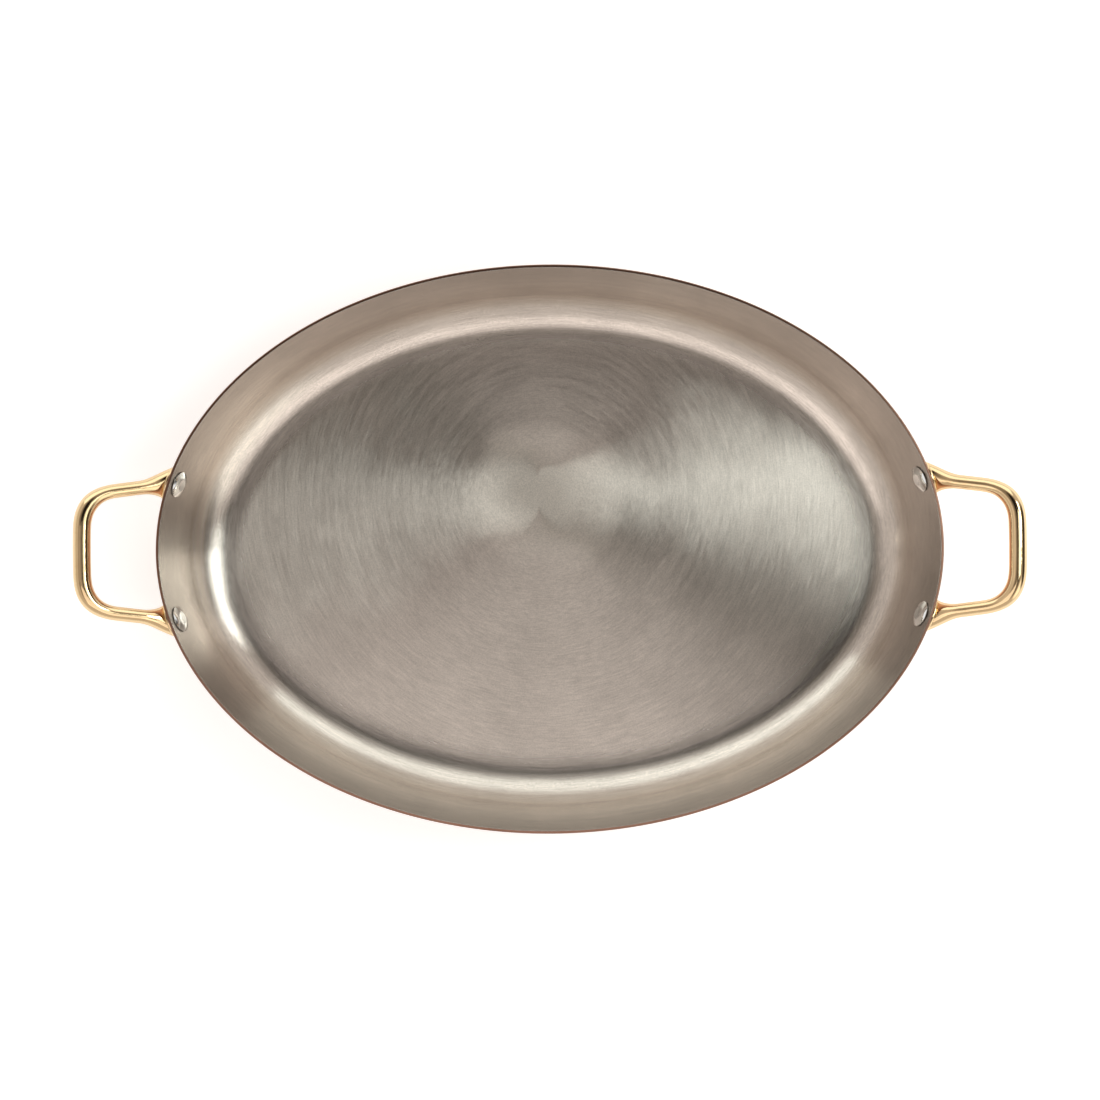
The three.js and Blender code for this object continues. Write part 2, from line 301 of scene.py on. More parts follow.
def apply_modifier(piece, kind, **settings):
    """Adds a modifier, sets it up and applies it."""
    select_only(piece)
    bpy.ops.object.modifier_add(type=kind)
    modifier = piece.modifiers[-1]
    for key, value in settings.items():
        setattr(modifier, key, value)
    bpy.ops.object.modifier_apply(modifier=modifier.name)


def cut_away(piece, cutter):
    """Cuts the cutter's shape out of the piece, and then takes the cutter out."""
    apply_modifier(piece, "BOOLEAN", operation="DIFFERENCE", object=cutter, solver="EXACT")
    mesh = cutter.data
    bpy.data.objects.remove(cutter)
    bpy.data.meshes.remove(mesh)


def mirrored_copy(piece, name, mirror):
    """A copy with its own mesh, mirrored across the dish, with its faces outwards again."""
    select_only(piece)
    bpy.ops.object.duplicate(linked=False)
    copy = bpy.context.object
    copy.name = copy.data.name = name
    bpy.ops.transform.resize(value=mirror, center_override=(0, 0, 0))
    apply_place(copy)
    tidy_normals(copy)
    return copy


def finish_piece(piece, node, material, degrees=32):
    """Smooths a finished piece, gives it its material and sets it in the node's place."""
    select_only(piece)
    bpy.ops.object.shade_smooth_by_angle(angle=math.radians(degrees))
    piece.data.materials.clear()
    piece.data.materials.append(material)
    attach(piece, "root")
    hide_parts(node)
    select_only()


def drill():
    """The four rivet holes as one cutter, from inside the dish into the handles' feet."""
    scene = bpy.context.scene
    rivet = scene.dish_rivets
    place = Profile(scene.dish_sizes).wall_place(rivet.spacing / 2, rivet.drop)
    depth = rivet.shank_in_foot + rivet.clearance
    long = depth + rivet.head_diameter
    cutters = []
    for x, y in ((1, 1), (1, -1), (-1, 1), (-1, -1)):
        mirror = Vector((x, y, 1))
        out = place["out"] * mirror
        centre = place["point"] * mirror + out * (depth - long / 2)
        select_only()
        bpy.ops.mesh.primitive_cylinder_add(
            vertices=ROUND_SEGMENTS,
            radius=rivet.shank_diameter / 2 + rivet.clearance,
            depth=long,
            location=centre,
            rotation=out.to_track_quat("Z", "Y").to_euler(),
        )
        cutters.append(bpy.context.object)
    select_only(*cutters)
    bpy.ops.object.join()
    cutter = bpy.context.object
    apply_place(cutter)
    return cutter


# Materials

NOISE_LOW, NOISE_HIGH = 0.3, 0.7
UP = (0, 0, 1)


class Nodes:
    """Short calls for the nodes that a material or the sky needs."""

    def __init__(self, tree):
        self.tree = tree

    def add(self, kind, inputs=(), **settings):
        node = self.tree.nodes.new(kind)
        for key, value in settings.items():
            setattr(node, key, value)
        for key, value in dict(inputs).items():
            self.feed(node.inputs[key], value)
        return node

    def feed(self, socket, value):
        if isinstance(value, bpy.types.NodeSocket):
            self.tree.links.new(value, socket)
        else:
            socket.default_value = value

    def sums(self, operation, first, *others):
        """Works through the numbers in turn, with one node for each after the first."""
        for other in others:
            node = self.add("ShaderNodeMath", {0: first, 1: other}, operation=operation)
            first = node.outputs[0]
        return first

    def vector(self, operation, first, second=None):
        """A vector operation. SCALE takes a number as its second value."""
        node = self.add("ShaderNodeVectorMath", {0: first}, operation=operation)
        if second is not None:
            self.feed(node.inputs["Scale" if operation == "SCALE" else 1], second)
        return node.outputs["Value" if operation in ("LENGTH", "DOT_PRODUCT") else 0]

    def combine(self, x, y, z):
        return self.add("ShaderNodeCombineXYZ", {0: x, 1: y, 2: z}).outputs[0]

    def ease(self, value, low, high, to_low=0.0, to_high=1.0, kind="SMOOTHSTEP"):
        """Carries a number from one range to another, and holds it at the ends."""
        return self.add("ShaderNodeMapRange", {
            "Value": value, "From Min": low, "From Max": high, "To Min": to_low, "To Max": to_high,
        }, interpolation_type=kind).outputs[0]

    def vary(self, noise, low, high):
        """Carries the range that most of a noise lies in evenly to another."""
        return self.ease(noise, NOISE_LOW, NOISE_HIGH, low, high, "LINEAR")

    def noise(self, vector, scale, detail=3.0, roughness=0.55):
        node = self.add("ShaderNodeTexNoise", {
            "Vector": vector, "Scale": scale, "Detail": detail, "Roughness": roughness,
        })
        return node.outputs["Fac"]

    def blend(self, share, first, second):
        """Mixes two colours."""
        node = self.add("ShaderNodeMix", {0: share, 6: first, 7: second}, data_type="RGBA")
        return node.outputs[2]

    def mix_numbers(self, share, first, second):
        node = self.add("ShaderNodeMix", {0: share, 2: first, 3: second}, data_type="FLOAT")
        return node.outputs[0]

    def mix_vectors(self, share, first, second):
        node = self.add("ShaderNodeMix", {0: share, 4: first, 5: second}, data_type="VECTOR")
        return node.outputs[1]


class Paint(Nodes):
    """A node material for one finish."""

    def __init__(self, name):
        self.material = bpy.data.materials.new(name)
        self.material.use_nodes = True
        super().__init__(self.material.node_tree)
        self.shader = self.tree.nodes["Principled BSDF"]

    def finish(self, **values):
        """Feeds the shader's sockets, each by its name with underscores for spaces."""
        for name, value in values.items():
            self.feed(self.shader.inputs[name.replace("_", " ")], value)
        return self.material

    def bump(self, height, distance, strength=1.0, below=None):
        """A bumped normal, over another one where there is one below."""
        inputs = {"Height": height, "Distance": distance, "Strength": strength}
        if below is not None:
            inputs["Normal"] = below
        return self.add("ShaderNodeBump", inputs).outputs[0]

    def place(self):
        """The point's coordinates on the object, as a vector and as three numbers."""
        vector = self.add("ShaderNodeTexCoord").outputs["Object"]
        parts = self.add("ShaderNodeSeparateXYZ", {0: vector}).outputs
        return vector, parts[0], parts[1], parts[2]

    def marks(self, way, distance, fine, along, detail, offset=(0, 0, 0)):
        """Marks that run a long way round the dish and are fine across it."""
        at = self.vector("ADD", self.vector("SCALE", way, along), offset)
        across = self.combine(0.0, 0.0, self.sums("MULTIPLY", distance, fine))
        return self.noise(self.vector("ADD", at, across), 1.0, detail)

    def oval(self, dish, flat, z):
        """The way straight out of the oval, and how far up and out each point lies."""
        half_x, half_y = dish.rim_length / 2, dish.rim_width / 2
        slope = self.vector("MULTIPLY", flat, (1 / half_x**2, 1 / half_y**2, 0))
        out = self.vector("LENGTH", self.vector("MULTIPLY", flat, (1, half_x / half_y, 0)))
        return self.vector("NORMALIZE", slope), self.sums("ADD", z, out)


def dark(tint, *shares):
    """The colour darkened, by one share or by one for each of red, green and blue."""
    if len(shares) == 1:
        shares *= 3
    return (*[value * share for value, share in zip(tint, shares)], 1)


def floor_share(paint, dish, flat):
    """How near each point is to the line where the floor turns up, which has 1."""
    profile = Profile(dish)
    floor_x = dish.rim_length / 2 - profile.inset(dish.end_flare)
    floor_y = dish.rim_width / 2 - profile.inset(dish.side_flare)
    return paint.vector("LENGTH", paint.vector("MULTIPLY", flat, (1 / floor_x, 1 / floor_y, 0)))


def brushed_steel():
    """Steel brushed in circles on the floor, and along the oval on the wall.

    The circles' middle lies off the dish's own. Their direction wanders a little, and close to
    the middle the marks stand upright and are rougher, so no sharp star shows there.
    """
    circle_middle = (-0.0020, 0.0260, 0)
    wander, wander_size = 0.006, 24.0
    loose_from, loose_to = 0.004, 0.044
    edge_start, edge_end, edge_depth = 0.93, 1.13, 0.0016
    stray_turn = 0.07
    floor_rough, wall_rough, corner_rough, middle_rough = 0.305, 0.22, 0.02, 0.32
    mark_depth, mark_strength, broad_share = 0.000004, 0.6, 1.6

    dish = bpy.context.scene.dish_sizes
    tint = tuple(bpy.context.scene.dish_colours.lining)
    paint = Paint("Brushed_steel")
    point, x, y, z = paint.place()
    flat = paint.combine(x, y, 0.0)
    from_middle = paint.vector("SUBTRACT", flat, circle_middle)
    circle_way = paint.vector("NORMALIZE", from_middle)
    circle_radius = paint.vector("LENGTH", from_middle)
    oval_way, oval_line = paint.oval(dish, flat, z)
    share = floor_share(paint, dish, flat)
    on_wall = paint.ease(share, edge_start, 1.0)

    def lines(fine, along, detail, shift):
        """Marks that follow the circles on the floor and the oval on the wall."""
        return paint.mix_numbers(
            on_wall,
            paint.marks(circle_way, circle_radius, fine, along, detail, (shift, 0, 0)),
            paint.marks(oval_way, oval_line, fine, along, detail, (shift + 7, 3, 0)),
        )

    fine_lines = lines(fine=1500.0, along=15.0, detail=1.0, shift=0.0)
    broad_lines = lines(fine=420.0, along=2.5, detail=3.0, shift=11.0)
    hair_lines = lines(fine=1050.0, along=10.0, detail=1.0, shift=23.0)
    cloud = paint.noise(point, scale=26.0, detail=4.0)
    grain = paint.noise(point, scale=1500.0, detail=1.0)

    tone = paint.sums(
        "MULTIPLY",
        paint.ease(fine_lines, 0.28, 0.72, 0.91, 1.09, "LINEAR"),
        paint.vary(broad_lines, 0.97, 1.03),
        paint.vary(grain, 0.92, 1.08),
        # Painted shade: the steel darkens up the wall, to 0.72 of its colour at the rim
        paint.ease(z, 0.010, 0.040, 1.0, 0.72),
        paint.vary(cloud, 0.93, 1.07),
    )

    sway = [
        paint.vary(
            paint.noise(paint.vector("ADD", point, (shift, 0, 0)), wander_size, 2.0),
            -wander, wander,
        )
        for shift in (3.0, 5.0)
    ]
    swayed = paint.vector("ADD", from_middle, paint.combine(*sway, 0.0))
    off_middle = paint.vector("LENGTH", swayed)
    rough = paint.sums(
        "ADD",
        paint.vary(broad_lines, -0.02, 0.02),
        paint.mix_numbers(on_wall, floor_rough, wall_rough),
        paint.ease(z, 0.003, 0.014, 0.0, corner_rough),
        paint.ease(off_middle, loose_from, loose_to, middle_rough, 0.0),
    )

    upright = paint.combine(1.0, paint.ease(off_middle, loose_from, loose_to, 0.0, 1.0), 0.0)
    circles = paint.vector("NORMALIZE", paint.vector("MULTIPLY", swayed, upright))
    across = paint.mix_vectors(on_wall, circles, oval_way)
    stray = paint.sums(
        "ADD",
        paint.vary(hair_lines, -stray_turn, stray_turn),
        paint.vary(cloud, -stray_turn, stray_turn),
    )
    astray = paint.vector("SCALE", paint.vector("CROSS_PRODUCT", across, UP), stray)
    across = paint.vector("ADD", paint.vector("ADD", across, astray), UP)

    height = paint.sums("ADD", fine_lines, paint.sums("MULTIPLY", broad_lines, broad_share))
    eased_edge = paint.bump(paint.ease(share, edge_start, edge_end), edge_depth)
    return paint.finish(
        Base_Color=paint.vector("SCALE", tint, tone),
        Metallic=1.0,
        Roughness=rough,
        Anisotropic=0.95,
        Tangent=across,
        Normal=paint.bump(height, mark_depth, mark_strength, eased_edge),
    )


def satin_copper():
    """Copper rubbed along the oval, darker low on the wall and in patches, with painted shade at
    the rim's edge.
    """
    dish = bpy.context.scene.dish_sizes
    tint = bpy.context.scene.dish_colours.copper
    paint = Paint("Satin_copper")
    point, x, y, z = paint.place()
    oval_way, oval_line = paint.oval(dish, paint.combine(x, y, 0.0), z)
    rubbed = paint.marks(oval_way, oval_line, fine=2300.0, along=7.0, detail=4.0)
    cloud = paint.noise(point, scale=34.0, detail=5.0, roughness=0.6)
    patches = paint.sums("MULTIPLY", paint.ease(cloud, 0.46, 0.72), 0.45)
    # Darker towards the bottom of the wall, added to random darker patches
    low_down = paint.ease(z, 0.0, 0.024, 0.55, 0.0)
    patches_and_low_down = paint.sums("MINIMUM", 1.0, paint.sums("ADD", patches, low_down))
    base = paint.blend(patches_and_low_down, (*tint, 1), dark(tint, 0.66, 0.55, 0.5))
    base = paint.blend(paint.vary(rubbed, 0.0, 0.22), base, dark(tint, 0.6))
    return paint.finish(
        # Painted shade: the copper darkens to 0.45 of its colour over the rim's rounded edge
        Base_Color=paint.vector("SCALE", base, paint.ease(z, 0.0420, 0.0440, 1.0, 0.45)),
        Metallic=1.0,
        Roughness=paint.vary(rubbed, 0.26, 0.36),
        Normal=paint.bump(rubbed, distance=0.000012, strength=0.6),
    )


def cast_brass():
    """Polished cast brass: a faint unevenness, fine rubbing marks and darker clouds."""
    tint = bpy.context.scene.dish_colours.brass
    paint = Paint("Cast_brass")
    point = paint.place()[0]
    swell = paint.noise(point, scale=150.0, detail=2.0, roughness=0.4)
    grain = paint.noise(point, scale=2600.0, detail=3.0, roughness=0.6)
    cloud = paint.noise(point, scale=60.0, detail=4.0, roughness=0.6)
    clouded = paint.ease(cloud, 0.45, 0.75, 0.0, 0.35)
    uneven = paint.bump(swell, distance=0.00025, strength=0.5)
    return paint.finish(
        Base_Color=paint.blend(clouded, (*tint, 1), dark(tint, 0.82, 0.74, 0.62)),
        Metallic=1.0,
        Roughness=paint.vary(grain, 0.07, 0.14),
        Normal=paint.bump(grain, distance=0.000004, strength=0.5, below=uneven),
    )


def polished_steel():
    """The rivets' steel, pressed and polished, with a few faint marks."""
    tint = bpy.context.scene.dish_colours.rivet
    paint = Paint("Polished_steel")
    point = paint.place()[0]
    grain = paint.noise(point, scale=3200.0, detail=3.0, roughness=0.6)
    cloud = paint.noise(point, scale=240.0, detail=3.0, roughness=0.6)
    clouded = paint.ease(cloud, 0.4, 0.75, 0.0, 0.3)
    return paint.finish(
        Base_Color=paint.blend(clouded, (*tint, 1), dark(tint, 0.8)),
        Metallic=1.0,
        Roughness=paint.vary(grain, 0.03, 0.07),
        Normal=paint.bump(cloud, distance=0.00006, strength=0.4),
    )


# Pieces

class DISH_OT_copper_shell(Operator):
    """Models the copper shell: the base, the flared wall and the rounded rim"""

    bl_idname = "dish.copper_shell"
    bl_label = "Copper shell"
    bl_options = {"REGISTER", "UNDO"}

    def execute(self, context):
        dish = context.scene.dish_sizes
        profile = Profile(dish)
        flare = (dish.end_flare + dish.side_flare) / 2
        top = profile.shoulder - dish.rim_rounding * math.sin(flare)
        heights = profile.heights(profile.sheet, top)
        rim_steps = 8
        for step in range(1, rim_steps + 1):
            turn = -flare + (math.pi / 2 + flare) * step / rim_steps
            heights.append(profile.shoulder + dish.rim_rounding * math.sin(turn))
        rings = [profile.ring(height, profile.outside) for height in heights]
        bond = profile.heights(dish.lining, dish.height)
        rings += [profile.skin_ring(dish.lining, height) for height in reversed(bond)]
        shell = draw_body("Copper_shell", rings, OVAL_SEGMENTS, FLAT_LINES, FLAT_LINES)
        cut_away(shell, drill())
        finish_piece(shell, "copper_shell", satin_copper())
        return {"FINISHED"}


class DISH_OT_steel_lining(Operator):
    """Models the steel skin inside the copper, up to its burnished edge at the rim"""

    bl_idname = "dish.steel_lining"
    bl_label = "Steel lining"
    bl_options = {"REGISTER", "UNDO"}

    def execute(self, context):
        dish = context.scene.dish_sizes
        profile = Profile(dish)
        edge = dish.burnish
        edge_steps = 3
        heights = profile.heights(0, dish.height - edge)
        rings = [profile.skin_ring(0, height) for height in heights]
        half_x, half_y, _ = rings[-1]
        for step in range(1, edge_steps + 1):
            turn = math.pi / 2 * step / edge_steps
            out = edge * (1 - math.cos(turn))
            rise = edge * math.sin(turn)
            rings.append((half_x + out, half_y + out, dish.height - edge + rise))
        bond = profile.heights(dish.lining, dish.height)
        rings += [profile.skin_ring(dish.lining, height) for height in reversed(bond)]
        lining = draw_body("Steel_lining", rings, OVAL_SEGMENTS, FLAT_LINES, FLAT_LINES)
        cut_away(lining, drill())
        finish_piece(lining, "steel_lining", brushed_steel())
        return {"FINISHED"}


class Loop:
    """One handle's loop: sections along its middle line, from a foot to the grip's middle."""

    PAD_STEPS = 6
    FLARE_STEPS = 16
    FLARE_EASE = 1.35
    ARM_STEPS = 6
    BEND_STEPS = 16
    GRIP_STEPS = 6
    # The section thickens while the line's heading turns by this much towards the grip
    TURN_START, TURN_SPAN = 0.15, 0.8

    def __init__(self, scene):
        self.sizes = scene.dish_handles
        self.profile = Profile(scene.dish_sizes)
        side = scene.dish_rivets.spacing / 2
        self.arm = self.profile.wall_place(side, self.sizes.arm_drop)
        self.foot = self.profile.wall_place(side, self.sizes.foot_drop)
        pitch = self.sizes.pitch
        self.climb = Vector((math.cos(pitch), 0, math.sin(pitch)))
        self.lift = Vector((-math.sin(pitch), 0, math.cos(pitch)))

    def corners(self):
        """The loop's lines in its own plane: the arm's ends, the bend's and the grip's."""
        sizes = self.sizes
        reach = (self.profile.rim_x + sizes.reach - self.arm["point"].x) / self.climb.x
        root = Vector((0, self.arm["point"].y))
        corner_side = sizes.arm_spacing / 2
        grip_side = corner_side - sizes.bend_length
        grip_x = reach - sizes.grip_bow
        corner_x = grip_x - 2 * sizes.grip_bow * sizes.bend_length / grip_side
        arm_x = corner_x - sizes.bend_length
        share = arm_x / corner_x
        arm_end = Vector((arm_x, root.y + (corner_side - root.y) * share))
        bend = (arm_end, Vector((corner_x, corner_side)), Vector((grip_x, grip_side)))
        grip = (bend[2], Vector((reach + sizes.grip_bow, 0)), Vector((grip_x, -grip_side)))
        return root, bend, grip

    def middle_line(self):
        """(distance from the foot, point, heading) in the loop's plane, foot first."""
        sizes = self.sizes
        root, bend, grip = self.corners()
        heading = (bend[0] - root).normalized()
        arm_length = (bend[0] - root).length
        pad_start = sizes.pad_thickness - sizes.pad_rounding
        distances = [-self.profile.sheet, 0, pad_start * 0.5]
        for step in range(self.PAD_STEPS + 1):
            turn = math.pi / 2 * step / self.PAD_STEPS
            distances.append(pad_start + sizes.pad_rounding * math.sin(turn))
        for step in range(1, self.FLARE_STEPS + 1):
            share = (step / self.FLARE_STEPS) ** self.FLARE_EASE
            distances.append(sizes.pad_thickness + sizes.flare_length * share)
        start = distances[-1]
        distances += [
            start + (arm_length - start) * step / self.ARM_STEPS
            for step in range(1, self.ARM_STEPS + 1)
        ]
        line = [(away, root + heading * max(0, away), heading) for away in distances]
        curves = ((bend, 1.0, self.BEND_STEPS), (grip, 0.5, self.GRIP_STEPS))
        for points, last, steps in curves:
            for step in range(1, steps + 1):
                share = last * step / steps
                a, b, c = points
                at = a * (1 - share) ** 2 + b * 2 * share * (1 - share) + c * share**2
                way = ((b - a) * (1 - share) + (c - b) * share).normalized()
                line.append((arm_length + share, at, way))
        return line

    def section(self, away, at, way):
        """Centre, axes and half sizes of the section at this place on the middle line."""
        sizes = self.sizes
        arm_side = Vector((0, 1, 0)) * way.x - self.climb * way.y
        arm_centre = self.arm["point"].copy()
        arm_centre.y = at.y
        arm_centre += self.climb * at.x
        share = min(1, max(0, (away - sizes.pad_thickness) / sizes.flare_length))
        spread = (1 - share) ** 2
        foot_centre = self.foot["point"].copy()
        foot_centre.x += away / self.foot["out"].x
        centre = arm_centre.lerp(foot_centre, spread)
        side = arm_side.lerp(self.foot["along"], spread).normalized()
        up = self.lift.lerp(self.foot["up"], spread)
        up = (up - side * up.dot(side)).normalized()
        bend = min(1, max(0, (abs(way.y) - self.TURN_START) / self.TURN_SPAN))
        bend = bend * bend * (3 - 2 * bend)
        width = sizes.arm_width + (sizes.grip_width - sizes.arm_width) * bend
        height = sizes.arm_height + (sizes.grip_height - sizes.arm_height) * bend
        start = sizes.pad_thickness - sizes.pad_rounding
        edge = min(1, max(0, (away - start) / sizes.pad_rounding))
        loss = sizes.pad_rounding * (1 - math.sqrt(1 - edge**2)) * spread
        half_width = (width + (sizes.foot_width - width) * spread) / 2 - loss
        half_height = (height + (sizes.foot_height - height) * spread) / 2 - loss
        return centre, Matrix((side, up, side.cross(up))), half_width, half_height

    def sections(self):
        return [self.section(*place) for place in reversed(self.middle_line())]


def size_section(centre, axes, wider, higher):
    """Sizes the selected section along its own two axes."""
    bpy.ops.transform.resize(
        value=(wider, higher, 1),
        orient_type="GLOBAL",
        orient_matrix=[tuple(axis) for axis in axes],
        orient_matrix_type="GLOBAL",
        center_override=centre,
    )


def carry_section(old, new):
    """Extrudes the selected section, sizes it, turns it and carries it to the next place."""
    centre, axes, half_width, half_height = old
    next_centre, next_axes, next_width, next_height = new
    bpy.ops.mesh.extrude_region_move()
    size_section(centre, axes, next_width / half_width, next_height / half_height)
    turn = (next_axes.transposed() @ axes).to_euler("XYZ")
    for axis, amount in zip("XYZ", turn):
        bpy.ops.transform.rotate(
            value=-amount, orient_axis=axis, orient_type="GLOBAL", center_override=centre
        )
    bpy.ops.transform.translate(value=next_centre - centre)


def handle_loop(name):
    """One loop with its two feet, still passing into the wall that it is cut to fit."""
    sections = Loop(bpy.context.scene).sections()
    centre, axes, half_width, half_height = sections[0]
    select_only()
    bpy.ops.mesh.primitive_circle_add(
        vertices=HANDLE_SIDES,
        radius=1,
        fill_type="NOTHING",
        location=centre,
        rotation=axes.transposed().to_euler("XYZ"),
    )
    loop = bpy.context.object
    loop.name = loop.data.name = name
    apply_place(loop)
    bpy.ops.object.mode_set(mode="EDIT")
    bpy.ops.mesh.select_mode(type="VERT")
    bpy.ops.mesh.select_all(action="SELECT")
    size_section(centre, axes, half_width, half_height)
    for old, new in zip(sections, sections[1:]):
        carry_section(old, new)
    bpy.ops.mesh.edge_face_add()
    bpy.ops.object.mode_set(mode="OBJECT")
    apply_modifier(
        loop, "MIRROR", use_axis=(False, True, False), use_clip=True, merge_threshold=MIRROR_MERGE
    )
    tidy_normals(loop)
    apply_modifier(loop, "SUBSURF", levels=1, render_levels=1)
    return loop


def dish_plug():
    """The dish grown by the gap that the feet keep to it, and carried up past the rim."""
    scene = bpy.context.scene
    dish = scene.dish_sizes
    profile = Profile(dish)
    depth = profile.sheet + dish.seat_gap
    heights = profile.heights(depth, profile.shoulder)
    rings = [profile.skin_ring(depth, height) for height in heights]
    half_x = profile.rim_x + dish.seat_gap
    half_y = profile.rim_y + dish.seat_gap
    past = dish.height + scene.dish_handles.foot_height
    rings += [(half_x, half_y, dish.height), (half_x, half_y, past)]
    return draw_body("Dish_plug", rings, OVAL_SEGMENTS)


class DISH_OT_handles(Operator):
    """Models one brass handle, cuts its feet to fit the wall, and mirrors it to the other end"""

    bl_idname = "dish.handles"
    bl_label = "Handles"
    bl_options = {"REGISTER", "UNDO"}

    def execute(self, context):
        right = handle_loop("Handle_right")
        cut_away(right, dish_plug())
        cut_away(right, drill())
        left = mirrored_copy(right, "Handle_left", (-1, 1, 1))
        brass = cast_brass()
        finish_piece(right, "handle_right", brass, degrees=40)
        finish_piece(left, "handle_left", brass, degrees=40)
        return {"FINISHED"}


class DISH_OT_rivets(Operator):
    """Models one rivet, its low dimpled head inside the wall, and copies it to four places"""

    bl_idname = "dish.rivets"
    bl_label = "Rivets"
    bl_options = {"REGISTER", "UNDO"}

    def execute(self, context):
        scene = context.scene
        dish = scene.dish_sizes
        rivet = scene.dish_rivets
        profile = Profile(dish)
        place = profile.wall_place(rivet.spacing / 2, rivet.drop)
        head = rivet.head_diameter / 2
        dimple = rivet.dimple_diameter / 2
        shank = rivet.shank_diameter / 2
        run = math.hypot(
            profile.rim_x * math.sin(place["turn"]), profile.rim_y * math.cos(place["turn"])
        )
        wall_radius = run**3 / (profile.rim_x * profile.rim_y)
        seat = -profile.sheet - dish.seat_gap - head**2 / (2 * wall_radius)
        top = seat - rivet.head_height

        rings = []
        dimple_lines = (0.15, 0.3, 0.45, 0.6, 0.75, 0.88)
        for share in dimple_lines:
            rings.append((dimple * share, top + rivet.dimple_depth * (1 - share**2)))
        dome_steps = 12
        for step in range(dome_steps + 1):
            radius = dimple + (head - dimple) * math.sin(math.pi / 2 * step / dome_steps)
            fall = (radius**2 - dimple**2) / (head**2 - dimple**2)
            rings.append((radius, top + (rivet.head_height - rivet.head_edge) * fall))
        edge_rounding = rivet.head_edge * 0.35
        rings += [
            (head, seat - edge_rounding),
            (head - edge_rounding, seat),
            (shank + rivet.clearance, seat),
            (shank, seat + rivet.clearance),
            (shank, rivet.shank_in_foot - rivet.clearance),
            (shank - rivet.clearance, rivet.shank_in_foot),
        ]
        rings = [(radius, radius, level) for radius, level in rings]
        first = draw_body("Rivet_right_rear", rings, ROUND_SEGMENTS)
        third = place["along"].cross(place["out"])
        turn = Matrix((place["along"], -third, place["out"])).transposed()
        first.rotation_euler = turn.to_euler("XYZ")
        first.location = place["point"]
        apply_place(first)
        tidy_normals(first)
        steel = polished_steel()
        rivets = [(first, "rivet_right_rear")]
        for node, mirror in (
            ("rivet_right_front", (1, -1, 1)),
            ("rivet_left_rear", (-1, 1, 1)),
            ("rivet_left_front", (-1, -1, 1)),
        ):
            copy = mirrored_copy(first, node.capitalize(), mirror)
            rivets.append((copy, node))
        for piece, node in rivets:
            finish_piece(piece, node, steel, degrees=50)
        return {"FINISHED"}


# Stage

TABLE_SIZE = 12
TABLE_CUTS = 7
TABLE_GLOW = 0.48
CAMERA_PLACE = (0.00007, -0.00042, 1.045)
CAMERA_TURN = math.radians(-0.42)
CAMERA_LENS = 71.7
CAMERA_SENSOR = 36
CAMERA_NEAREST = 0.01

COOL = (0.88, 1.0, 0.98)
CLEAR = (0.91, 1.0, 0.98)
WARM = (1.0, 0.96, 0.94)

# Name, place, width, height, brightness and tint. Each lamp faces straight down, apart from the
# rear one, which faces the dish's back. The three key panels and the side panel make the bright
# wedge at the right of the floor and the bright corner at the left.
LAMPS = (
    ("Key_panel", (0.47, 0.008, 0.62), 0.30, 0.215, 1.3, CLEAR),
    ("Key_near", (0.40, 0.022, 1.30), 0.30, 0.185, 1.0, CLEAR),
    ("Key_far", (0.755, 0.045, 1.30), 0.41, 0.39, 1.5, CLEAR),
    ("Side_panel", (1.28, 0.42, 1.30), 0.50, 0.84, 8.0, CLEAR),
    ("Rear_panel", (-0.22, 1.20, 0.80), 2.35, 1.00, 1.04, COOL, (-0.22, 0.0, 0.80)),
    ("Front_panel", (-0.10, -0.33, 0.62), 0.72, 0.46, 1.06, WARM),
    ("Left_panel", (-0.36, -0.02, 0.62), 0.5, 0.15, 0.24, WARM),
)


def soft_light(name, place, width, height, brightness, tint, aim=None):
    """A lamp of this size whose face is this bright, and that faces down or to its aim."""
    select_only()
    bpy.ops.object.light_add(type="AREA", location=place)
    lamp = bpy.context.object
    lamp.name = lamp.data.name = name
    away = Vector(place) - Vector(aim or (*place[:2], 0.0))
    lamp.rotation_euler = away.to_track_quat("Z", "Y").to_euler()
    lamp.data.shape = "RECTANGLE"
    lamp.data.size = width
    lamp.data.size_y = height
    lamp.data.energy = brightness * math.pi * width * height
    lamp.data.color = tint
    lamp.visible_camera = False


def table_top():
    """A pale table, which keeps the dish's shadow and reads as white round it."""
    tint = bpy.context.scene.dish_colours.table
    paint = Paint("Pale_table")
    grain = paint.noise(paint.place()[0], scale=900.0)
    speckled = paint.ease(grain, NOISE_LOW, NOISE_HIGH, 0.0, 0.04)
    rays = paint.add("ShaderNodeLightPath").outputs
    seen = paint.sums(
        "MAXIMUM", rays["Is Camera Ray"], rays["Is Glossy Ray"], rays["Is Transmission Ray"]
    )
    return paint.finish(
        Base_Color=paint.blend(speckled, (*tint, 1), dark(tint, 0.94)),
        Roughness=0.7,
        Specular_IOR_Level=0.1,
        Emission_Color=(1, 1, 1, 1),
        Emission_Strength=paint.sums("MULTIPLY", seen, TABLE_GLOW),
    )


